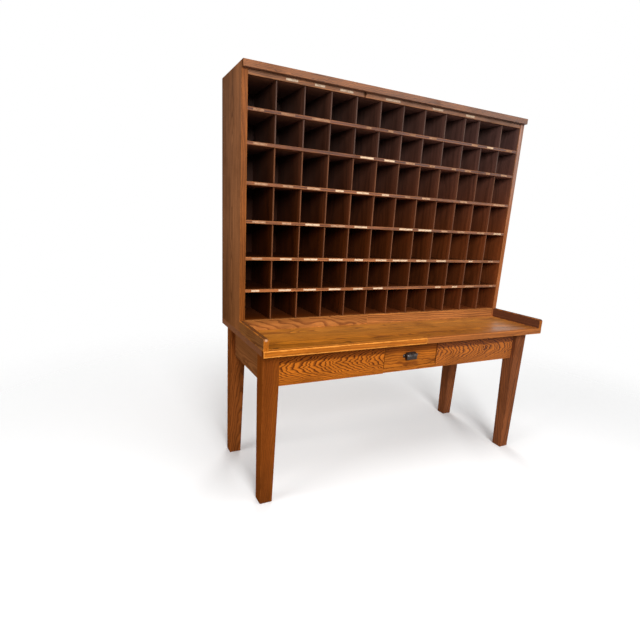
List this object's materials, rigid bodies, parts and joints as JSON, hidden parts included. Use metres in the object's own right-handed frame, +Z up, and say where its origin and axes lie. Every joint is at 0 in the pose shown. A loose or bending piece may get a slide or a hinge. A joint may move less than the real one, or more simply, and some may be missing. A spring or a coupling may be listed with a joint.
{
  "type": "pigeonhole mail sorter",
  "caption": "Oak mail-sorting desk: a tall case of open pigeonholes on a table with tapered legs, low end rails and one drawer with a cup pull.",
  "frame": {"origin": "on the floor, under the middle of the table top", "axes": "+Z up, -Y towards the person at the sorter, +X along the case to that person's right"},
  "size_m": [1.66, 0.655, 1.905],
  "materials": {
    "case_oak": "satin old varnish",
    "shelf_oak": "satin old varnish, worn front edges",
    "divider_oak": "thin, dark, dusty varnish",
    "back_oak": "dark matt varnish",
    "top_oak": "glossy amber varnish, worn",
    "kick_oak": "satin amber varnish",
    "leg_oak": "satin red-brown varnish",
    "apron_oak": "satin amber varnish, strong figure",
    "drawer_oak": "satin amber varnish",
    "plain_wood": "bare, aged",
    "dark_bronze": "dark aged bronze, rubbed on the hood",
    "screw_steel": "aged steel",
    "fresh_paper": "cream paper, matt",
    "aged_paper": "browned, rubbed paper"
  },
  "bodies": {
    "desk": {"aged_labels": "aged_paper", "apron_back": "apron_oak", "apron_front_left": "apron_oak", "apron_front_right": "apron_oak", "apron_side_left": "apron_oak", "apron_side_right": "apron_oak", "back_board_1": "back_oak", "back_board_2": "back_oak", "back_board_3": "back_oak", "back_board_4": "back_oak", "case_lid": "case_oak", "case_screws": "screw_steel", "case_side_left": "case_oak", "case_side_right": "case_oak", "ceiling_shelf": "case_oak", "crown_strip": "case_oak", "dividers_row_1": "divider_oak", "dividers_row_2": "divider_oak", "dividers_row_3": "divider_oak", "dividers_row_4": "divider_oak", "dividers_row_5": "divider_oak", "dividers_row_6": "divider_oak", "dividers_row_7": "divider_oak", "drawer_rail": "apron_oak", "drawer_runner_left": "plain_wood", "drawer_runner_right": "plain_wood", "drawer_stops": "plain_wood", "floor_board": "shelf_oak", "fresh_labels": "fresh_paper", "gallery_left": "top_oak", "gallery_right": "top_oak", "glue_blocks": "plain_wood", "header_labels": "aged_paper", "header_strip_left": "case_oak", "header_strip_right": "case_oak", "kickboard_left": "kick_oak", "kickboard_right": "kick_oak", "leg_back_left": "leg_oak", "leg_back_right": "leg_oak", "leg_front_left": "leg_oak", "leg_front_right": "leg_oak", "shelf_1": "shelf_oak", "shelf_2": "shelf_oak", "shelf_3": "shelf_oak", "shelf_4": "shelf_oak", "shelf_5": "shelf_oak", "shelf_6": "shelf_oak", "top_board_1": "top_oak", "top_board_2": "top_oak", "top_board_3": "top_oak", "top_board_4": "top_oak", "top_nosing_left": "top_oak", "top_nosing_right": "top_oak"},
    "drawer": {"drawer_front": "drawer_oak", "drawer_side_left": "plain_wood", "drawer_side_right": "plain_wood", "drawer_back": "plain_wood", "drawer_bottom": "plain_wood", "drawer_pull": "dark_bronze", "pull_screws": "screw_steel"}
  },
  "joints": [
    {"name": "drawer_slide", "type": "slide", "parent": "desk", "child": "drawer", "axis": [0, -1, 0], "range_m": [0, 0.3]}
  ]
}
